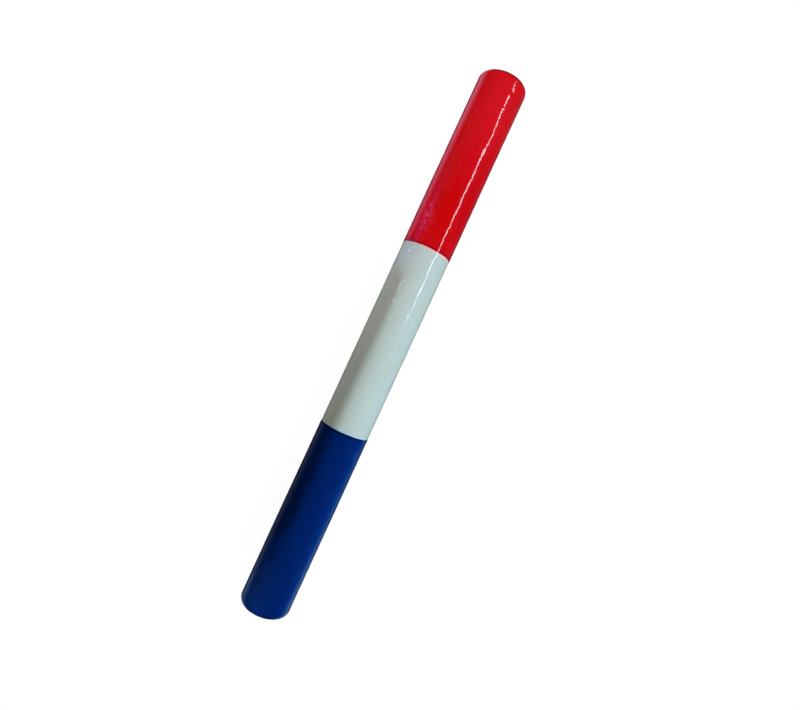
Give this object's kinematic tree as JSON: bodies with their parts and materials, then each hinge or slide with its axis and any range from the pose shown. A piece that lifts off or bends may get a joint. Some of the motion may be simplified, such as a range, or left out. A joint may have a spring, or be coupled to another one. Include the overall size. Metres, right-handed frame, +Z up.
{
  "type": "juggling baton",
  "caption": "Straight round wooden juggling club in baton form, with flat rounded-over ends, painted in gloss bands of red, white and blue.",
  "frame": {"origin": "on the surface the stick lies on, below the middle of its length", "axes": "+X along the stick from the blue end to the red end, +Z up, away from the surface it lies on"},
  "size_m": [0.3, 0.0264, 0.0264],
  "materials": {
    "wood": "matte",
    "white_enamel": "gloss",
    "red_enamel": "gloss",
    "blue_enamel": "gloss"
  },
  "bodies": {
    "root": {"wood_core": "wood", "white_coat": "white_enamel", "red_coat": "red_enamel", "blue_coat": "blue_enamel"}
  },
  "joints": []
}
